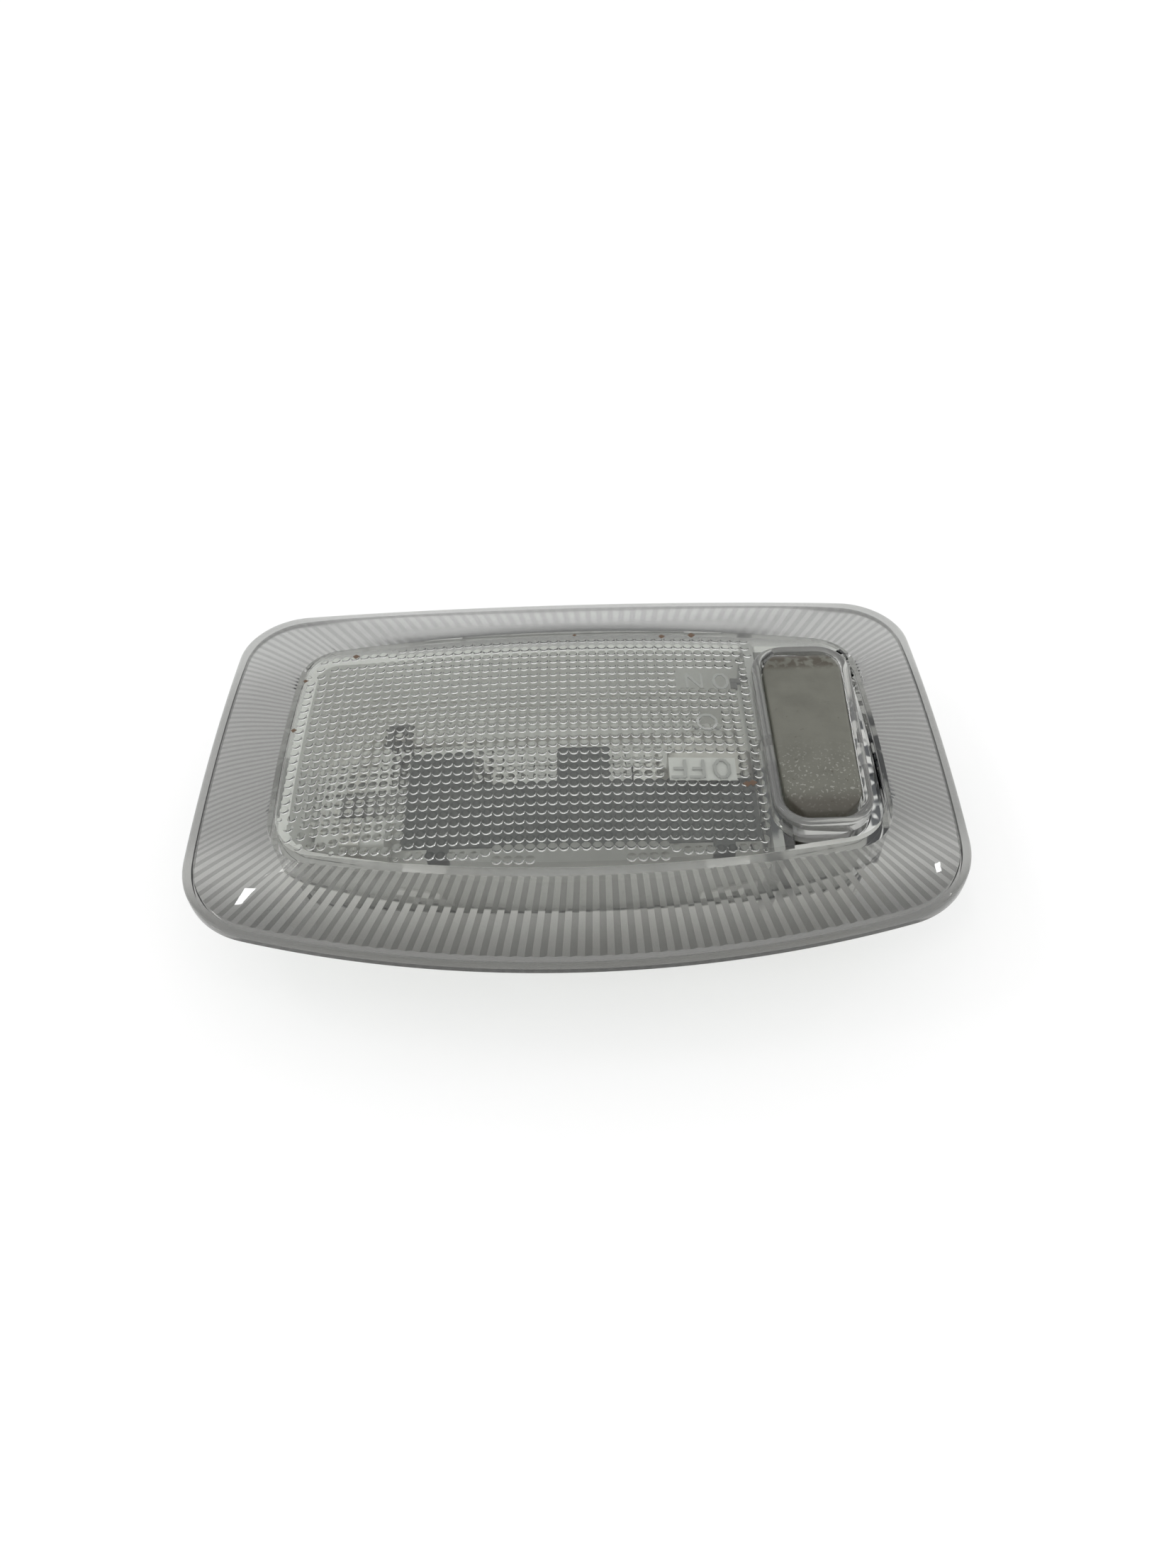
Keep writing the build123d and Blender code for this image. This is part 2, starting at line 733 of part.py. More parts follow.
def make_bulb_cap(side):
    start = glass_length / 2 - cap_lap
    end = bulb_length / 2
    cone = end - cap_cone
    outline = Polyline(
        (start, cap_radius - cap_wall),
        (start, cap_radius),
        (cone, cap_radius),
        (end, cap_tip_radius),
        (end, 0),
        (end - cap_wall, 0),
        (end - cap_wall, cap_tip_radius - cap_wall / 2),
        (cone, cap_radius - cap_wall),
        close=True,
    )
    cap = along_bulb(make_face(outline))
    return cap if side > 0 else mirror(cap, about=Plane.YZ)


def make_bulb_filament():
    """Coiled filament as one rod, with the two leads that hold it."""
    length = bulb_length - 2 * cap_wall
    coil = Rot(0, 90, 0) * Cylinder(filament_radius, filament_length)
    leads = Rot(0, 90, 0) * Cylinder(lead_radius, length)
    return Pos(0, 0, bulb_z) * (coil + leads)


def make_clip(side):
    """Sprung steel clip: a tab in the housing's slot, a leg up the pad and a crest for the roof's edge."""
    leg_x = clip_pad + clip_metal / 2
    points = [
        (clip_pad - clip_tab, clip_foot_rise),
        (leg_x, clip_foot_rise),
        (leg_x, clip_knee_rise),
        (leg_x + clip_reach, clip_crest_rise),
        (leg_x + clip_metal, clip_end_rise),
    ]
    profile = trace(FilletPolyline(*points, radius=strip_bend), clip_metal)
    return at_end(side, extrude(Plane.XZ * profile, clip_width / 2, both=True))


def save(name, shape):
    export_step(shape, f"parts/{name}.step")


if __name__ == "__main__":
    os.makedirs("parts", exist_ok=True)
    save("lens", make_lens())
    save("base_housing", make_base_housing())
    save("rocker", make_rocker())
    save("detent_plunger", make_detent_plunger())
    save("plunger_spring", make_plunger_spring())
    save("contact_bridge", make_contact_bridge())
    save("contact_left", make_contact_left())
    save("contact_right", make_contact_right())
    save("ground_strip", floor_strip(-1, front_strip_y))
    save("door_strip", floor_strip(1, back_strip_y))
    save("heat_shield", make_heat_shield())
    save("strip_rivets", make_strip_rivets())
    save("bulb_glass", make_bulb_glass())
    save("bulb_cap_left", make_bulb_cap(-1))
    save("bulb_cap_right", make_bulb_cap(1))
    save("bulb_filament", make_bulb_filament())
    save("clip_left", make_clip(-1))
    save("clip_right", make_clip(1))
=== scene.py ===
import bpy
import math
import numpy as np
from mathutils import Matrix


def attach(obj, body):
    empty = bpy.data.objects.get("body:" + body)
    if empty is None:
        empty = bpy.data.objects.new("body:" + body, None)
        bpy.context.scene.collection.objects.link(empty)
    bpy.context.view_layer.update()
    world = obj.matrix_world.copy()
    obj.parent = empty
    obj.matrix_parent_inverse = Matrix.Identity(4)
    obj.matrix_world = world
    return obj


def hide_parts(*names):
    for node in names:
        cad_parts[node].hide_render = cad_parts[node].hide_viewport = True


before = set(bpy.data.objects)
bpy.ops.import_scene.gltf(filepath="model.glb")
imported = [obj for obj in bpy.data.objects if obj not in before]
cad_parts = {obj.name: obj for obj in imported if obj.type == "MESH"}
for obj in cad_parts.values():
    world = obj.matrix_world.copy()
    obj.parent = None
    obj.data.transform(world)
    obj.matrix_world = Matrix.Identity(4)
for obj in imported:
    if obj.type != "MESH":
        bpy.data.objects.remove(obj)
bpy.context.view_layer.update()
mm = 0.001
print("frame loaded:", len(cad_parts), "nodes")


class Wire:
    # one output of a node tree; arithmetic on it adds Math nodes

    def __init__(self, tree, socket=None):
        self.tree = tree
        self.socket = socket

    def node(self, kind, settings, sockets):
        made = self.tree.nodes.new(kind)
        for key, value in settings.items():
            setattr(made, key, value)
        for key, value in sockets.items():
            if isinstance(value, Wire):
                self.tree.links.new(value.socket, made.inputs[key])
            else:
                made.inputs[key].default_value = value
        return made

    def get(self, kind, settings, sockets, output=0):
        return Wire(self.tree, self.node(kind, settings, sockets).outputs[output])

    def calc(self, operation, first, second):
        return self.get("ShaderNodeMath", {"operation": operation}, {0: first, 1: second})

    def __add__(self, other):
        return self.calc("ADD", self, other)

    def __sub__(self, other):
        return self.calc("SUBTRACT", self, other)

    def __rsub__(self, other):
        return self.calc("SUBTRACT", other, self)

    def __mul__(self, other):
        return self.calc("MULTIPLY", self, other)

    __radd__ = __add__
    __rmul__ = __mul__

    def larger(self, other):
        return self.calc("MAXIMUM", self, other)

    def step(self, low, high):
        # smooth rise from 0 at low to 1 at high, or fall where low is the larger
        settings = {"interpolation_type": "SMOOTHSTEP"}
        return self.get("ShaderNodeMapRange", settings, {"Value": self, "From Min": low, "From Max": high})

    def band(self, low, high, soft):
        # 1 between low and high, with soft ends that lie inside them
        return self.step(low, low + soft) * (1 - self.step(high - soft, high))

    def noise(self, scale, detail=4.0, rough=0.55):
        sockets = {"Vector": self, "Scale": scale, "Detail": detail, "Roughness": rough}
        return self.get("ShaderNodeTexNoise", {}, sockets)

    def tint(self, first, second):
        # colour between two colours, with this value as the share of the second
        made = self.node("ShaderNodeMix", {"data_type": "RGBA"}, {0: self})
        for place, colour in ((6, first), (7, second)):
            if isinstance(colour, Wire):
                self.tree.links.new(colour.socket, made.inputs[place])
            else:
                made.inputs[place].default_value = (*colour, 1.0)
        return Wire(self.tree, made.outputs[2])

    def bump(self, strength, distance):
        sockets = {"Strength": strength, "Distance": distance, "Height": self}
        return self.get("ShaderNodeBump", {}, sockets, "Normal")

    def axes(self):
        split = self.node("ShaderNodeSeparateXYZ", {}, {0: self})
        return [Wire(self.tree, out) for out in split.outputs]


def startMaterial(name):
    # new material with its Object coordinates
    material = bpy.data.materials.new(name)
    material.use_nodes = True
    material.node_tree.nodes.clear()
    start = Wire(material.node_tree)
    return material, start.get("ShaderNodeTexCoord", {}, {}, "Object")


def surface(shader):
    shader.node("ShaderNodeOutputMaterial", {}, {"Surface": shader})


def principled(where, sockets):
    return where.get("ShaderNodeBsdfPrincipled", {}, sockets)


def gridQuads(rows, columns, wrap):
    # four corners of each cell of a grid, joined end to end both ways where it wraps
    short = 0 if wrap else 1
    row, column = np.meshgrid(np.arange(rows - short), np.arange(columns - short), indexing="ij")
    here, there = row * columns, (row + 1) % rows * columns
    after = (column + 1) % columns
    return np.stack([here + column, here + after, there + after, there + column], axis=-1).reshape(-1, 4)


def addPiece(name, points, faces, materials, body, kinds=None, sharp=30.0):
    # mesh from an array of points in mm and lists of faces; edges over the sharp angle stay crisp
    mesh = bpy.data.meshes.new(name)
    mesh.from_pydata((points * mm).tolist(), [], faces)
    mesh.polygons.foreach_set("use_smooth", np.ones(len(mesh.polygons), dtype=bool))
    mesh.set_sharp_from_angle(angle=math.radians(sharp))
    for material in materials:
        mesh.materials.append(material)
    if kinds is not None:
        mesh.polygons.foreach_set("material_index", kinds)
    mesh.update()
    piece = bpy.data.objects.new(name, mesh)
    bpy.context.scene.collection.objects.link(piece)
    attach(piece, body)
    return piece


# clear lens: bowed outline with round corners, crowned face, reeded border, prism field and collar
# reeds and their depths run round from the front: front, corner, right, corner, back, corner, left, corner
lensSize = {
    "rim": {
        "middle": 0.0, "length": 147.0, "depth": 94.4, "bows": (12.0, 1.46, 2.7), "corners": (18.0, 13.5),
    },
    "field": {
        "middle": 0.85, "length": 117.5, "depth": 63.6, "bows": (7.667, 0.933, 1.725), "corners": (11.0, 8.0),
    },
    "rimZ": 20.0,
    "lip": 3.0,
    "lipWall": 2.4,
    "lipRound": 0.35,
    "lipShoulder": 0.7,
    "lipEase": 0.62,
    "lipEaseShare": 0.02,
    "slopeTop": 9.7,
    "slopeReach": 15.4,
    "crown": 10.9,
    "bendAlong": 480.0,
    "bendAcross": 300.0,
    "wall": 2.2,
    "skirt": 1.6,
    "skirtZ": 16.0,
    "skirtRound": 0.25,
    "reeds": (46, 9, 38, 9, 46, 9, 38, 9),
    "reedSteps": 2,
    "reedDepths": (0.36, 0.2, 0.13, 0.16, 0.2, 0.16, 0.13, 0.2),
    "softness": 2.4,
}
lensKinds = {"bright": 0, "dark": 1, "field": 2, "collar": 3, "joint": 4, "skirt": 5}


def onCircle(angle):
    return np.stack([np.cos(angle), np.sin(angle)], axis=1)


def bowedOutline(shape, inset, counts):
    # arcs front, right, back and left, a corner arc after each, on fixed centres, so an inset is parallel
    half, deep = shape["length"] / 2, shape["depth"] / 2
    frontBow, sideBow, backBow = shape["bows"]
    frontY, backY = frontBow - deep, deep - backBow
    chords = np.array([half - sideBow, (backY - frontY) / 2, half - sideBow, (backY - frontY) / 2])
    bows = np.array([frontBow, sideBow, backBow, sideBow])
    radii = (chords**2 + bows**2) / (2 * bows)
    middleX, middleY = shape["middle"], (frontY + backY) / 2
    centres = np.array([
        (middleX, radii[0] - deep),
        (middleX + half - radii[1], middleY),
        (middleX, deep - radii[2]),
        (middleX - half + radii[3], middleY),
    ])
    frontCorner, backCorner = shape["corners"]
    cornerRadii = np.array([frontCorner, backCorner, backCorner, frontCorner])
    towards = np.array([(1, -1), (1, 1), (-1, 1), (-1, -1)])
    nextCentres, nextRadii = np.roll(centres, -1, axis=0), np.roll(radii, -1)
    between = nextCentres - centres
    apart = np.linalg.norm(between, axis=1)
    near, far = radii - cornerRadii, nextRadii - cornerRadii
    along = (near**2 - far**2 + apart**2) / (2 * apart)
    unit = between / apart[:, None]
    normal = np.stack([-unit[:, 1], unit[:, 0]], axis=1)
    side = np.sign((normal * towards).sum(axis=1))
    rise = side * np.sqrt(near**2 - along**2)
    cornerCentres = centres + along[:, None] * unit + rise[:, None] * normal
    toCorner = cornerCentres - centres
    fromNext = cornerCentres - nextCentres
    leaves = np.arctan2(toCorner[:, 1], toCorner[:, 0])
    arrives = np.arctan2(fromNext[:, 1], fromNext[:, 0])
    parts = []
    for index in range(4):
        arcs = (
            (centres[index], radii[index], arrives[index - 1], leaves[index], counts[2 * index]),
            (cornerCentres[index], cornerRadii[index], leaves[index], arrives[index], counts[2 * index + 1]),
        )
        for centre, radius, first, last, count in arcs:
            turn = (last - first) % (2 * math.pi)
            parts.append(centre + (radius - inset) * onCircle(first + turn * np.arange(count) / count))
    return np.concatenate(parts)


def roundedOutline(middle, size, radius, count):
    # rectangle with round corners as arcs that meet end to end
    halves = np.array(size) / 2 - radius
    parts = []
    for index, signs in enumerate(((1, 1), (-1, 1), (-1, -1), (1, -1))):
        angle = math.pi / 2 * (index + np.arange(count) / (count - 1))
        parts.append(np.array(middle) + halves * signs + radius * onCircle(angle))
    return np.concatenate(parts)


def fall(radius, reach):
    return radius - np.sqrt(radius**2 - reach**2)


def crownZ(flat):
    # face bent along and across the lamp by two large radii
    top = lensSize["rimZ"] + lensSize["crown"]
    return top - fall(lensSize["bendAlong"], flat[:, 0]) - fall(lensSize["bendAcross"], flat[:, 1])


def softLower(first, second, softness):
    # the lower of two heights, rounded where they cross
    return -np.logaddexp(-softness * first, -softness * second) / softness


def ring(flat, height):
    return np.column_stack([flat, np.broadcast_to(height, len(flat))])


def borderShell(size):
    # one closed profile carried round the lamp: lip, slope, skirt, then reeds back out to the lip
    counts = [reeds * size["reedSteps"] for reeds in size["reeds"]]
    rim = lambda inset: bowedOutline(size["rim"], inset, counts)
    field = lambda inset: bowedOutline(size["field"], inset, counts)
    low, lipTop, lipRound = size["rimZ"], size["rimZ"] + size["lip"], size["lipRound"]
    outer, inner = rim(0.0), field(0.0)
    rings = [ring(rim(lipRound), low), ring(outer, low + lipRound)]
    rings.append(ring(outer, lipTop - size["lipShoulder"]))
    climb = size["slopeTop"] - size["lip"]
    for share in (0.012, 0.03, 0.06, 0.1, 0.16, 0.24, 0.34, 0.46, 0.58, 0.7, 0.8, 0.88, 0.94, 1.0):
        flat = outer + share * (inner - outer)
        slope = lipTop + share * climb - size["lipEase"] * math.exp(-share / size["lipEaseShare"])
        rings.append(ring(flat, softLower(slope, crownZ(flat), size["softness"])))
    skirt, skirtLow, skirtRound = size["skirt"], size["skirtZ"], size["skirtRound"]
    halfway, plateEdge = field(skirt / 2), field(skirt)
    rings += [ring(halfway, crownZ(halfway)), ring(plateEdge, crownZ(plateEdge))]
    jointRow = len(rings) - 1
    rings.append(ring(plateEdge, crownZ(plateEdge) - size["wall"]))
    rings += [ring(plateEdge, skirtLow + skirtRound), ring(field(skirt - skirtRound), skirtLow)]
    rings += [ring(field(skirtRound), skirtLow), ring(inner, skirtLow + skirtRound)]
    phase = np.arange(len(outer)) / size["reedSteps"]
    lift = -np.repeat(size["reedDepths"], counts) * (1 - np.abs(2 * (phase % 1) - 1))
    inside = np.minimum(low + size["slopeTop"], crownZ(inner)) - size["wall"]
    outside = lipTop + climb / size["slopeReach"] * size["lipWall"] - size["wall"]
    lipInner = rim(size["lipWall"])
    firstReed = len(rings)
    for share in np.linspace(0, 1, 5):
        flat = inner + share * (lipInner - inner)
        rings.append(ring(flat, inside + share * (outside - inside) + lift))
    lastReed = len(rings) - 1
    rings += [ring(lipInner, low + lipRound), ring(rim(size["lipWall"] - lipRound), low)]
    points = np.stack(rings)
    quads = gridQuads(len(rings), len(outer), True)
    # painted light: every other reed facet takes the lit tones, the rest the shaded ones
    kinds = np.full(points.shape[:2], lensKinds["bright"])
    kinds[firstReed:lastReed, 1::2] = lensKinds["dark"]
    kinds[jointRow] = lensKinds["joint"]
    kinds[jointRow + 1:firstReed] = lensKinds["skirt"]
    return points.reshape(-1, 3), [quads], kinds.ravel().tolist()


switchPlace = {
    "x": 46.0,
    "width": 15.8,
    "length": 44.0,
    "taper": 2.0,
    "corner": 5.0,
    "inner": -0.15,
    "wall": 1.7,
    "top": 30.1,
    "low": 24.5,
    "round": 0.85,
    "lowGap": 0.02,
    "beadGap": 0.05,
    "cornerSteps": 14,
    "beadSteps": 11,
}


def switchOutline(grow, count):
    # rounded opening whose outer side leans in towards the front
    place = switchPlace
    size = (place["width"] + 2 * grow, place["length"] + 2 * grow)
    flat = roundedOutline((place["x"], 0.0), size, place["corner"] + grow, count)
    share = (flat[:, 0] - place["x"]) / size[0] + 0.5
    flat[:, 0] += share * flat[:, 1] * place["taper"] / place["length"]
    return flat


def collarShell(place):
    # rounded bead carried round the switch opening, on a wall that the plate joins
    steps = place["cornerSteps"]
    inner, outer = place["inner"], place["wall"]
    edge = switchOutline(outer, steps)
    plateTop = crownZ(edge)
    plateLow = np.maximum(plateTop - lensSize["wall"], place["low"] + place["lowGap"])
    rings = [ring(switchOutline(inner, steps), place["low"]), ring(edge, place["low"])]
    rings += [ring(edge, plateLow), ring(edge, plateTop)]
    jointRow = 2
    base = np.maximum(place["top"] - place["round"], plateTop + place["beadGap"])
    for turn in np.linspace(0, math.pi, place["beadSteps"]):
        grow = (inner + outer) / 2 + (outer - inner) / 2 * math.cos(turn)
        rings.append(ring(switchOutline(grow, steps), base + place["round"] * math.sin(turn)))
    points = np.stack(rings)
    quads = gridQuads(len(rings), points.shape[1], True)
    kinds = np.full(points.shape[:2], lensKinds["collar"])
    kinds[jointRow] = lensKinds["joint"]
    return points.reshape(-1, 3), [quads], kinds.ravel().tolist()


# plates are the flat places for the words and the mark: left, right, front, back
prismField = {
    "pitch": 2.0,
    "start": (-61.0, -35.0),
    "cells": (60, 35),
    "depth": 0.42,
    "radius": 0.94,
    "shoulder": 0.58,
    "left": -59.0,
    "right": 36.5,
    "front": -28.5,
    "back": 31.0,
    "plates": ((20.5, 33.5, 12.0, 18.5), (17.5, 31.0, -12.0, -5.0), (24.0, 28.2, 2.2, 6.4)),
    "gap": 0.02,
    "edgeCounts": (40, 12, 30, 12, 40, 12, 30, 12),
    "holeSteps": 12,
    "clearOfEdge": 0.3,
    "leastReach": 0.4,
}


def insideOf(outline, flat):
    # crossing count of a ray to the right through every edge of the outline
    here, there = outline[None, :, :], np.roll(outline, -1, axis=0)[None, :, :]
    x, y = flat[:, None, 0], flat[:, None, 1]
    spans = (here[..., 1] > y) != (there[..., 1] > y)
    rise = np.where(spans, there[..., 1] - here[..., 1], 1.0)
    crossing = here[..., 0] + (y - here[..., 1]) / rise * (there[..., 0] - here[..., 0])
    return (spans & (x < crossing)).sum(axis=1) % 2 == 1


def nearestOn(outline, flat):
    # closest point on the edges of the outline, with its distance
    start, edge = outline[None], (np.roll(outline, -1, axis=0) - outline)[None]
    share = ((flat[:, None] - start) * edge).sum(-1) / np.maximum((edge**2).sum(-1), 1e-9)
    foot = start + np.clip(share, 0, 1)[..., None] * edge
    away = np.linalg.norm(flat[:, None] - foot, axis=-1)
    best = away.argmin(axis=1)
    rows = np.arange(len(flat))
    return foot[rows, best], away[rows, best]


def within(flat, left, right, front, back):
    x, y = flat[:, 0], flat[:, 1]
    return (x > left) & (x < right) & (y > front) & (y < back)


def cellReach(flat, cells, middles, pitch):
    # how far each cell's middle is from its nearest side, as a share of half the pitch
    here = flat[cells]
    side = np.roll(here, -1, axis=1) - here
    inward = middles[:, None] - here
    turned = side[..., 0] * inward[..., 1] - side[..., 1] * inward[..., 0]
    away = turned / (np.linalg.norm(side, axis=2) + 1e-9)
    return np.minimum(away.min(axis=1) * 2 / pitch, 1.0)


def roundCaps(flat, cells, middles, reach, field, wall):
    # cap of a ball in each cell: foot circle, shoulder circle and tip
    # the rest of the cell is joined from its corners to the foot, three steps of the circle to a side
    around = 12
    depth, radius = field["depth"], field["radius"]
    ball = (radius**2 + depth**2) / (2 * depth)
    shoulder = math.sqrt(ball**2 - field["shoulder"]**2) - ball + depth
    corner = np.median(flat[cells[:, 0]] - middles, axis=0)
    turn = math.atan2(corner[1], corner[0]) + np.arange(around) * 2 * math.pi / around
    circle = onCircle(turn) * reach[:, None, None]
    foot = (middles[:, None] + radius * circle).reshape(-1, 2)
    upper = (middles[:, None] + field["shoulder"] * circle).reshape(-1, 2)
    points = np.concatenate([
        ring(foot, crownZ(foot) - wall),
        ring(upper, crownZ(upper) - wall - shoulder * np.repeat(reach, around)),
        ring(middles, crownZ(middles) - wall - depth * reach),
    ])
    count, many = len(flat), len(middles)
    corners = cells + count
    feet = 2 * count + np.arange(around * many).reshape(many, around)
    shoulders, tips = feet + around * many, 2 * (count + around * many) + np.arange(many)
    patches = []
    for side in range(4):
        here, there = corners[:, side], corners[:, (side + 1) % 4]
        along = [feet[:, (3 * side + step) % around] for step in range(4)]
        patches += [(along[1], there, here), (along[0], along[1], here)]
        patches += [(along[1], along[2], there), (along[2], along[3], there)]
    for step in range(around):
        after = (step + 1) % around
        patches.append((shoulders[:, step], shoulders[:, after], feet[:, after], feet[:, step]))
        patches.append((tips, shoulders[:, after], shoulders[:, step]))
    return points, [np.stack(patch, axis=1) for patch in patches]


def prismShell(size, field):
    # slab on a square grid: crowned face above, a cap under each field cell, edges drawn to the outlines
    edgeLine = bowedOutline(size["field"], size["skirt"] + field["gap"], field["edgeCounts"])
    holeLine = switchOutline(switchPlace["wall"] + field["gap"], field["holeSteps"])
    columns, rows = field["cells"]
    gridX, gridY = np.meshgrid(np.arange(columns + 1), np.arange(rows + 1), indexing="ij")
    flat = np.stack([gridX.ravel(), gridY.ravel()], axis=1) * field["pitch"] + np.array(field["start"])
    edgeFoot, edgeAway = nearestOn(edgeLine, flat)
    holeFoot, holeAway = nearestOn(holeLine, flat)
    kept = insideOf(edgeLine, flat) & ~insideOf(holeLine, flat)
    kept &= np.minimum(edgeAway, holeAway) > field["clearOfEdge"]
    cells = gridQuads(columns + 1, rows + 1, False)[:, ::-1]
    cells = cells[kept[cells].all(axis=1)]
    used, uses = np.unique(cells, return_counts=True)
    rim = used[uses < 4]
    nearHole = holeAway[rim] < edgeAway[rim]
    flat[rim] = np.where(nearHole[:, None], holeFoot[rim], edgeFoot[rim])
    renumber = np.full(len(flat), -1)
    renumber[used] = np.arange(len(used))
    cells, flat = renumber[cells], flat[used]
    middles = flat[cells].mean(axis=1)
    reach = cellReach(flat, cells, middles, field["pitch"])
    capped = within(middles, field["left"], field["right"], field["front"], field["back"])
    capped &= reach > field["leastReach"]
    for plate in field["plates"]:
        capped &= ~within(middles, *plate)
    top = ring(flat, crownZ(flat))
    under = top - np.array([0, 0, size["wall"]])
    count = len(flat)
    capPoints, capFaces = roundCaps(flat, cells[capped], middles[capped], reach[capped], field, size["wall"])
    faces = [cells, cells[~capped][:, ::-1] + count, *capFaces]
    edges = np.concatenate([cells[:, [corner, (corner + 1) % 4]] for corner in range(4)])
    first, last = edges[:, 0], edges[:, 1]
    free = ~np.isin(first * count + last, last * count + first)
    first, last = first[free], last[free]
    kinds = [lensKinds["field"]] * sum(len(block) for block in faces) + [lensKinds["joint"]] * len(first)
    faces.append(np.stack([last, first, first + count, last + count], axis=1))
    return np.concatenate([top, under, capPoints]), faces, kinds


def joinShells(shells):
    # one mesh from several closed shells; each has blocks of faces and a material number for every face
    points, faces, kinds, start = [], [], [], 0
    for shellPoints, shellFaces, shellKinds in shells:
        points.append(shellPoints)
        for block in shellFaces:
            faces += (block + start).tolist()
        kinds += shellKinds
        start += len(shellPoints)
    return np.concatenate(points), faces, kinds


# shade is what the plastic lets through to what lies behind it
fieldLook = {
    "colour": (0.775, 0.785, 0.76), "shade": (0.8, 0.81, 0.8), "rough": 0.012, "clear": 1.0, "ior": 1.49,
}
collarLook = {
    "colour": (0.56, 0.56, 0.545), "shade": (0.8, 0.81, 0.8), "rough": 0.03, "clear": 0.88, "ior": 1.49,
}
skirtLook = {
    "colour": (0.7, 0.705, 0.69), "shade": (0.9, 0.9, 0.9), "rough": 0.02, "clear": 1.0, "ior": 1.49,
}
glassLook = {
    "colour": (1.0, 1.0, 1.0), "shade": (0.95, 0.95, 0.95), "rough": 0.0, "clear": 1.0, "ior": 1.3,
}
# painted light and shade on the clear border: tones of the lit and the shaded reed facets, by place
paintedLitReeds = {
    "outer": (0.205, 0.205, 0.197),
    "front": (0.66, 0.66, 0.637),
    "side": (0.34, 0.34, 0.33),
    "back": (0.45, 0.454, 0.443),
}
paintedShadedReeds = {
    "outer": (0.08, 0.08, 0.075),
    "front": (0.28, 0.28, 0.27),
    "side": (0.2, 0.2, 0.195),
    "back": (0.27, 0.274, 0.268),
}
# places in metres along x or y, where one tone passes into the next
fieldShadeAndHaze = {"backShade": (0.027, 0.0295), "leftShade": (-0.0555, -0.058), "frontHaze": (-0.0275, -0.029)}
# painted shade on the border: where its tones pass from the front to the sides and the back
borderShadePlaces = {"frontBow": 2.22, "front": (-0.046, -0.031), "side": (-0.034, -0.016), "back": (0.016, 0.034)}


def clearShader(where, look, colour, haze):
    # refracts what is seen through it, and lets lamp light pass
    smear = where.noise(90.0).step(0.5, 0.8)
    body = principled(where, {
        "Base Color": colour,
        "Roughness": smear * 0.03 + haze * 0.24 + look["rough"],
        "IOR": look["ior"],
        "Transmission Weight": look["clear"],
    })
    through = where.get("ShaderNodeBsdfTransparent", {}, {"Color": (*look["shade"], 1.0)})
    path = where.node("ShaderNodeLightPath", {}, {})
    shadow = Wire(where.tree, path.outputs["Is Shadow Ray"])
    diffuse = Wire(where.tree, path.outputs["Is Diffuse Ray"])
    surface(where.get("ShaderNodeMixShader", {}, {0: shadow.larger(diffuse), 1: body, 2: through}))


def clearPlastic(name, look):
    # faintly clouded, with painted shade along the back and left edges of the field, and hazy along its front
    material, where = startMaterial(name)
    x, y = where.axes()[:2]
    dull = [0.92 * part for part in look["colour"]]
    shadedColour = [0.6 * part for part in look["colour"]]
    clouded = where.noise(60.0).step(0.4, 0.75).tint(look["colour"], dull)
    # painted shade: darker along the back and left edges of the field
    edge = y.step(*fieldShadeAndHaze["backShade"]).larger(x.step(*fieldShadeAndHaze["leftShade"]))
    clearShader(where, look, edge.tint(clouded, shadedColour), y.step(*fieldShadeAndHaze["frontHaze"]))
    return material


def unseenJoint(name):
    # faces inside the moulding, where plate, border and collar are one
    material, where = startMaterial(name)
    surface(principled(where, {"Base Color": (*fieldLook["colour"], 1.0), "Alpha": 0.0}))
    return material


def borderPlastic(name, tones):
    # tinted by place to match the photo, deepest along the bowed front edge
    material, where = startMaterial(name)
    x, y = where.axes()[:2]
    # painted shade of the ground under the border, deepest along the bowed front edge
    fromEdge = y - x * x * borderShadePlaces["frontBow"]
    tone = fromEdge.step(*borderShadePlaces["front"]).tint(tones["outer"], tones["front"])
    tone = y.step(*borderShadePlaces["side"]).tint(tone, tones["side"])
    back = y.step(*borderShadePlaces["back"])
    clearShader(where, fieldLook, back.tint(tone, tones["back"]), back * 0.6)
    return material


# in the order of lensKinds
lensMaterials = [
    borderPlastic("paintedLitBorder", paintedLitReeds),
    borderPlastic("paintedShadedBorder", paintedShadedReeds),
    clearPlastic("clearField", fieldLook),
    clearPlastic("clearCollar", collarLook),
    unseenJoint("plasticJoint"),
    clearPlastic("clearSkirt", skirtLook),
]
lensShells = [borderShell(lensSize), prismShell(lensSize, prismField), collarShell(switchPlace)]
lensPoints, lensFaces, faceKinds = joinShells(lensShells)
lens = addPiece("lensMoulding", lensPoints, lensFaces, lensMaterials, "housing", faceKinds)
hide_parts("lens")
print("lens:", len(lensPoints), "points,", len(lensFaces), "faces")


# under the plate: words and ring mark of the switch, a pad behind one word, and two tabs
# a stroke is x and y of its start, then of its end
letterSize = {
    "stroke": 0.55,
    "rise": 0.3,
    "below": 0.03,
    "height": 4.2,
    "width": 2.7,
    "onY": 15.2,
    "onO": 29.9,
    "onN": (23.0, 26.0),
    "offY": -8.6,
    "offO": 27.9,
    "offF": (24.4, 20.9),
    "bar": 0.8,
    "mark": (26.1, 3.4, 3.6, 3.8),
}
padSize = {"stroke": 5.6, "rise": 0.2, "below": 0.4, "strokes": [[17.9, -8.5, 30.6, -8.5]]}
tabSize = {
    "stroke": 1.3,
    "rise": 0.6,
    "below": 2.6,
    "strokes": [[32.4, 18.3, 35.9, 18.3], [33.05, 17.6, 33.05, 15.9]],
}
hookSize = {
    "stroke": 0.9,
    "rise": 2.6,
    "below": 0.7,
    "strokes": [[-36.4, 5.4, -32.4, 5.4], [-35.95, 4.9, -35.95, 1.2], [-32.85, 4.9, -32.85, 3.0]],
}


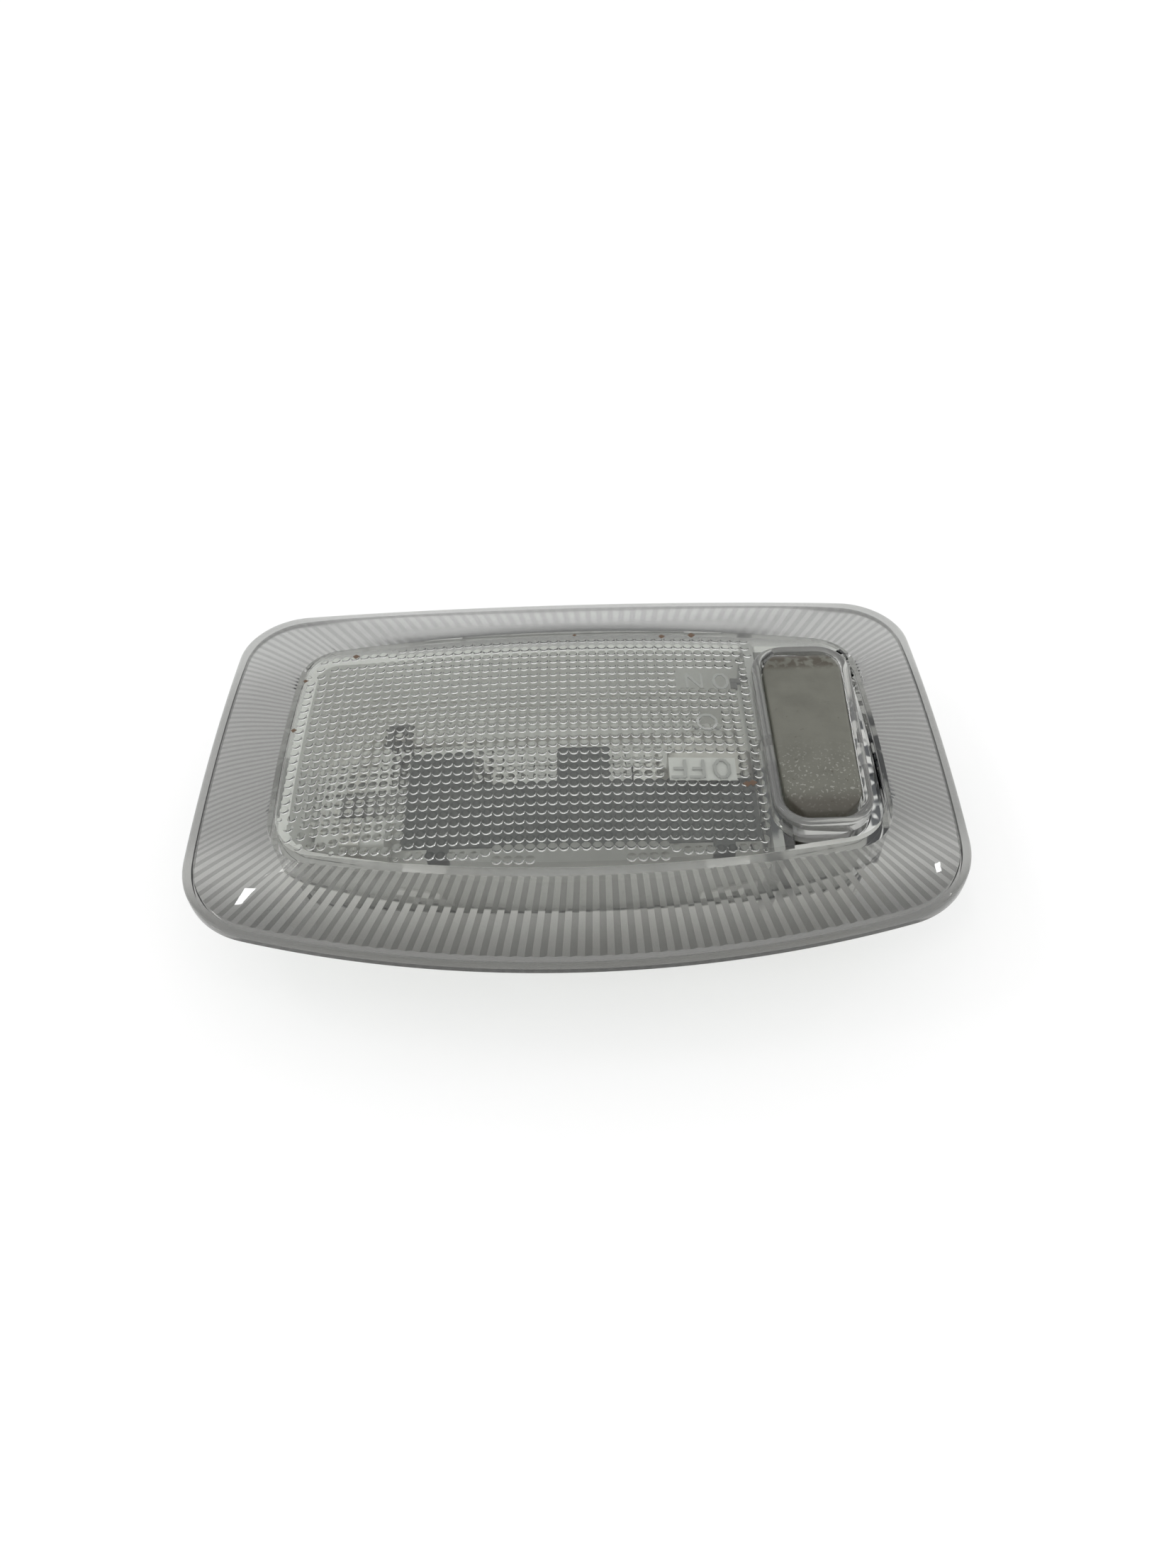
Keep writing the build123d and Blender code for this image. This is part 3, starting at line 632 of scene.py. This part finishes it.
def ribs(strokes, size):
    # each stroke is a bar between two points, six-sided, under the lens plate
    strokes = np.array(strokes)
    start, end = strokes[:, :2], strokes[:, 2:]
    way = (end - start) / np.linalg.norm(end - start, axis=1)[:, None]
    across = np.stack([-way[:, 1], way[:, 0]], axis=1) * size["stroke"] / 2
    flat = np.stack([start - across, end - across, end + across, start + across], axis=1).reshape(-1, 2)
    top = ring(flat, crownZ(flat) - lensSize["wall"] - size["below"])
    low = top - np.array([0, 0, size["rise"]])
    count = len(flat)
    corner = np.arange(count).reshape(-1, 4)
    faces = corner.tolist() + (corner[:, ::-1] + count).tolist()
    for side in range(4):
        here, there = corner[:, side], corner[:, (side + 1) % 4]
        faces += np.stack([there, here, here + count, there + count], axis=1).tolist()
    return np.concatenate([top, low]), faces


def letterO(x, y, width, height):
    # eight-sided loop of strokes, with its corners out past the oval so that its sides touch it
    angle = math.pi / 4 * (np.arange(9) + 0.5)
    out = 0.924
    loop = np.stack([x + width / 2 * np.cos(angle) / out, y + height / 2 * np.sin(angle) / out], axis=1)
    return np.concatenate([loop[:-1], loop[1:]], axis=1).tolist()


def letterStrokes(size):
    # O, N and F as strokes; both words stand on their heads, so that they are read from the back
    width, height = size["width"], size["height"]
    low, high = size["onY"] - height / 2, size["onY"] + height / 2
    left, right = size["onN"]
    strokes = letterO(size["onO"], size["onY"], width, height)
    strokes += [[left, low, left, high], [left, high, right, low], [right, low, right, high]]
    middle, low, high = size["offY"], size["offY"] - height / 2, size["offY"] + height / 2
    strokes += letterO(size["offO"], middle, width, height)
    for x in size["offF"]:
        strokes += [[x, low, x, high], [x, low, x - width, low], [x, middle, x - size["bar"] * width, middle]]
    return strokes + letterO(*size["mark"])


def frostedPlastic(name, colour):
    # dull plastic with fine flecks
    material, where = startMaterial(name)
    fleck = where.noise(900.0)
    dull = [0.85 * part for part in colour]
    surface(principled(where, {"Base Color": fleck.tint(colour, dull), "Roughness": fleck * 0.2 + 0.35}))
    return material


smallPieces = {
    "switchLetters": (ribs(letterStrokes(letterSize), letterSize), (0.5, 0.5, 0.49)),
    "switchPads": (ribs(padSize["strokes"], padSize), (0.8, 0.8, 0.78)),
    "switchTab": (ribs(tabSize["strokes"], tabSize), (0.12, 0.12, 0.115)),
    "holderTab": (ribs(hookSize["strokes"], hookSize), (0.14, 0.14, 0.135)),
}
for name, (mesh, colour) in smallPieces.items():
    piece = addPiece(name, *mesh, [frostedPlastic(name + "Look", colour)], "housing")
print("letters done")


grainSize = {
    "radius": 0.75,
    "thick": 0.12,
    "above": 0.07,
    "colour": (0.1, 0.055, 0.028),
    "places": (
        (0.4, 29.2), (18.7, 28.4), (25.0, 28.9), (-45.8, 26.5),
        (-55.6, 20.0), (-55.6, 5.3), (32.0, -13.4), (33.1, -13.1),
    ),
}


def grains(size):
    # flat grains of dirt on the lens: four corners round the edge, one above and one below, of uneven size
    flat = np.array(size["places"])
    middles = ring(flat, crownZ(flat) + size["above"])
    reach = size["radius"] * (0.7 + 0.6 * np.abs(np.sin(7.0 * np.arange(len(flat)))))
    thick = size["thick"]
    shape = np.array([(1, 0, 0), (0, 0.7, 0), (-0.8, 0, 0), (0, -0.9, 0), (0, 0, thick), (0, 0, -thick)])
    points = middles[:, None, :] + reach[:, None, None] * shape
    sides = np.array([(0, 1, 4), (1, 2, 4), (2, 3, 4), (3, 0, 4), (1, 0, 5), (2, 1, 5), (3, 2, 5), (0, 3, 5)])
    faces = 6 * np.arange(len(flat))[:, None, None] + sides
    return points.reshape(-1, 3), faces.reshape(-1, 3).tolist()


brownDirt = frostedPlastic("brownDirt", grainSize["colour"])
dirt = addPiece("dirtGrains", *grains(grainSize), [brownDirt], "housing")
print("grains done")


# finishes of the solids; places are in metres
def paleMoulding(name, colour, stain):
    # moulded plastic with faint clouding and a fine grain
    material, where = startMaterial(name)
    cloud = where.noise(60.0).step(0.35, 0.75)
    surface(principled(where, {
        "Base Color": (cloud * 0.6).tint(colour, stain),
        "Roughness": cloud * 0.15 + 0.4,
        "Normal": where.noise(1500.0, 2.0).bump(0.15, 0.00005),
    }))
    return material


housingTones = {
    "rightWallX": (0.0548, 0.0554),
    "rightWallY": (-0.027, 0.013),
    "partitionX": (0.0352, 0.0388),
    "leftWallY": (-0.024, -0.004),
    "upperZ": (0.012, 0.016),
    "soft": 0.003,
    "partitionSoft": 0.0004,
    "partitionGrey": (0.22, 0.22, 0.215),
    "darkPatches": (0.045, 0.05, 0.062),
}


def housingMoulding(name, colour, stain, tonePlan):
    # pale plastic with a grey partition and dark blotches on the walls beside the switch
    material, where = startMaterial(name)
    x, y, z = where.axes()
    cloud = where.noise(60.0).step(0.35, 0.75)
    upper = z.step(*tonePlan["upperZ"])
    rightWall = x.step(*tonePlan["rightWallX"]) * y.band(*tonePlan["rightWallY"], tonePlan["soft"])
    partition = x.band(*tonePlan["partitionX"], tonePlan["partitionSoft"]) * upper
    leftWall = partition * y.band(*tonePlan["leftWallY"], tonePlan["soft"])
    # dark blotches on the upper walls beside the switch
    blotch = where.noise(210.0, 2.0).step(0.42, 0.5) * upper
    darkPatches = blotch * rightWall.larger(leftWall)
    clean = (partition * 0.6).tint((cloud * 0.6).tint(colour, stain), tonePlan["partitionGrey"])
    surface(principled(where, {
        "Base Color": (darkPatches * 0.9).tint(clean, tonePlan["darkPatches"]),
        "Roughness": cloud * 0.15 + 0.4,
        "Normal": where.noise(1500.0, 2.0).bump(0.15, 0.00005),
    }))
    return material


rockerDirtAndPaintedLight = {
    "grey": ((0.122, 0.122, 0.099), (0.09, 0.09, 0.072)),
    "paintedGlint": (0.34, 0.34, 0.31),
    "paintedGlintY": (-0.012, -0.002),
    "specksY": (-0.004, 0.012),
    "stainY": (0.0152, 0.0172),
    "stain": (0.04, 0.03, 0.018),
    "frontY": (-0.0195, -0.0155),
    "front": (0.052, 0.045, 0.034),
}


def rockerMoulding(name, tonePlan):
    # grey grained plastic, with a brown stain along the back end and specks; the light flecks towards the
    # front are painted glints, and the darker front end is painted shade with brown dirt
    material, where = startMaterial(name)
    y = where.axes()[1]
    cloud = where.noise(140.0).step(0.3, 0.8)
    # painted glints: light flecks towards the front
    paintedGlint = where.noise(1700.0, 1.0).step(0.6, 0.68) * (1 - y.step(*tonePlan["paintedGlintY"]))
    specks = where.noise(900.0, 2.0).step(0.66, 0.72) * (1 - y.step(*tonePlan["specksY"]))
    backEdge = y.step(*tonePlan["stainY"]) * where.noise(420.0).step(0.4, 0.52)
    # painted shade with brown dirt: the front end is darker
    shadedFrontEnd = 1 - y.step(*tonePlan["frontY"])
    base = (paintedGlint * 0.5).tint(cloud.tint(*tonePlan["grey"]), tonePlan["paintedGlint"])
    base = (shadedFrontEnd * 0.8).tint(base, tonePlan["front"])
    dirt = (backEdge * 0.85).larger(specks * 0.5)
    surface(principled(where, {
        "Base Color": dirt.tint(base, tonePlan["stain"]),
        "Roughness": cloud * 0.12 + 0.42,
        "Normal": where.noise(2600.0, 3.0).bump(0.35, 0.00008),
    }))
    return material


def bareMetal(name, colour, dull, rough):
    # sheet metal with duller patches and fine scratches
    material, where = startMaterial(name)
    patch = where.noise(120.0).step(0.4, 0.75)
    surface(principled(where, {
        "Base Color": patch.tint(colour, dull),
        "Metallic": 1 - patch * 0.25,
        "Roughness": patch * 0.25 + rough,
        "Normal": where.noise(1800.0, 2.0).bump(0.08, 0.00004),
    }))
    return material


shieldPaint = {
    "paint": ((0.06, 0.065, 0.062), (0.1, 0.104, 0.1)),
    "bareFeet": (0.55, 0.55, 0.53),
    "feetY": (-0.0275, -0.0282),
}


def darkSheet(name, paint):
    # dull dark paint, with the riveted feet in front left bare
    material, where = startMaterial(name)
    y = where.axes()[1]
    patch = where.noise(200.0).step(0.4, 0.7)
    surface(principled(where, {
        "Base Color": y.step(*paint["feetY"]).tint(patch.tint(*paint["paint"]), paint["bareFeet"]),
        "Roughness": patch * 0.2 + 0.4,
    }))
    return material


tinned = bareMetal("tinnedStrip", (0.62, 0.61, 0.58), (0.45, 0.43, 0.4), 0.3)
nickel = bareMetal("nickelCap", (0.7, 0.7, 0.68), (0.5, 0.49, 0.46), 0.2)
steel = bareMetal("clipSteel", (0.52, 0.53, 0.55), (0.33, 0.32, 0.31), 0.3)
finishes = {
    "base_housing": housingMoulding("paleHousing", (0.86, 0.86, 0.84), (0.78, 0.77, 0.74), housingTones),
    "rocker": rockerMoulding("greyRocker", rockerDirtAndPaintedLight),
    "detent_plunger": paleMoulding("whitePlunger", (0.8, 0.8, 0.78), (0.72, 0.72, 0.7)),
    "plunger_spring": bareMetal("springWire", (0.55, 0.55, 0.56), (0.36, 0.35, 0.34), 0.25),
    "heat_shield": darkSheet("darkShield", shieldPaint),
    "contact_left": bareMetal("dullStrip", (0.24, 0.24, 0.23), (0.16, 0.16, 0.15), 0.45),
    "contact_right": tinned,
    "contact_bridge": tinned,
    "ground_strip": tinned,
    "door_strip": tinned,
    "strip_rivets": tinned,
    "bulb_glass": clearPlastic("bulbGlass", glassLook),
    "bulb_filament": bareMetal("bulbWire", (0.3, 0.3, 0.31), (0.2, 0.2, 0.2), 0.4),
    "bulb_cap_left": nickel,
    "bulb_cap_right": nickel,
    "clip_left": steel,
    "clip_right": steel,
}
for name, finish in finishes.items():
    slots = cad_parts[name].data.materials
    slots.clear()
    slots.append(finish)
print("finishes:", len(finishes))


# floor, light and camera; the two small lamps are there for glints
stageSize = {"floor": 6.0, "floorColour": 0.97, "world": 1.05, "lampTarget": (0, 0, 0.02)}
lamps = {
    "leftLamp": {"place": (-0.471, 0.115, 0.631), "size": (0.15, 0.03), "power": 0.3},
    "rightLamp": {"place": (0.531, 0.188, 0.568), "size": (0.06, 0.03), "power": 0.1},
}
viewPlace = {
    "target": (2.5, -4.2, 20.0),
    "distance": 214.88,
    "azimuth": 0.39,
    "elevation": 49.22,
    "roll": -1.836,
    "focalPixels": 1532.93,
    "pixelsHigh": 2212,
}


def paleFloor(size):
    half, tone = size["floor"] / 2, size["floorColour"]
    mesh = bpy.data.meshes.new("paleFloor")
    corners = [(-half, -half, 0), (half, -half, 0), (half, half, 0), (-half, half, 0)]
    mesh.from_pydata(corners, [], [(0, 1, 2, 3)])
    material, where = startMaterial("paleFloor")
    sockets = {"Base Color": (tone, tone, tone, 1.0), "Roughness": 0.9, "Specular IOR Level": 0.1}
    surface(principled(where, sockets))
    mesh.materials.append(material)
    floor = bpy.data.objects.new("paleFloor", mesh)
    bpy.context.scene.collection.objects.link(floor)


def paleWorld(size):
    world = bpy.data.worlds.new("paleWorld")
    world.use_nodes = True
    world.node_tree.nodes.clear()
    start = Wire(world.node_tree)
    sky = start.get("ShaderNodeBackground", {}, {"Color": (1, 1, 1, 1), "Strength": size["world"]})
    start.node("ShaderNodeOutputWorld", {}, {"Surface": sky})
    bpy.context.scene.world = world


def setFrame(thing, right, up, back, place):
    matrix = np.eye(4)
    matrix[:3, 0], matrix[:3, 1], matrix[:3, 2], matrix[:3, 3] = right, up, back, place
    thing.matrix_world = Matrix(matrix.tolist())


def softLamp(name, lamp, target):
    light = bpy.data.lights.new(name, "AREA")
    light.shape = "RECTANGLE"
    light.size, light.size_y = lamp["size"]
    light.energy = lamp["power"]
    holder = bpy.data.objects.new(name, light)
    back = np.array(lamp["place"], float) - np.array(target, float)
    back /= np.linalg.norm(back)
    right = np.cross((0, 0, 1), back)
    right /= np.linalg.norm(right)
    setFrame(holder, right, np.cross(back, right), back, lamp["place"])
    bpy.context.scene.collection.objects.link(holder)


def photoCamera(view):
    # stands back from the target along the view line, turned a little about it
    azimuth, elevation, roll = (math.radians(view[key]) for key in ("azimuth", "elevation", "roll"))
    flatReach = math.cos(elevation)
    back = np.array([math.sin(azimuth) * flatReach, -math.cos(azimuth) * flatReach, math.sin(elevation)])
    right = np.cross(-back, (0, 0, 1))
    right /= np.linalg.norm(right)
    up = np.cross(right, -back)
    turnedRight = math.cos(roll) * right + math.sin(roll) * up
    turnedUp = -math.sin(roll) * right + math.cos(roll) * up
    data = bpy.data.cameras.new("photoCamera")
    data.sensor_width = 36.0
    data.lens = view["focalPixels"] * data.sensor_width / view["pixelsHigh"]
    data.clip_start = 0.005
    camera = bpy.data.objects.new("photoCamera", data)
    place = (np.array(view["target"]) + view["distance"] * back) * mm
    setFrame(camera, turnedRight, turnedUp, back, place)
    bpy.context.scene.collection.objects.link(camera)
    bpy.context.scene.camera = camera


paleFloor(stageSize)
paleWorld(stageSize)
for name, lamp in lamps.items():
    softLamp(name, lamp, stageSize["lampTarget"])
photoCamera(viewPlace)
bpy.context.scene.view_settings.view_transform = "Standard"
print("stage done")
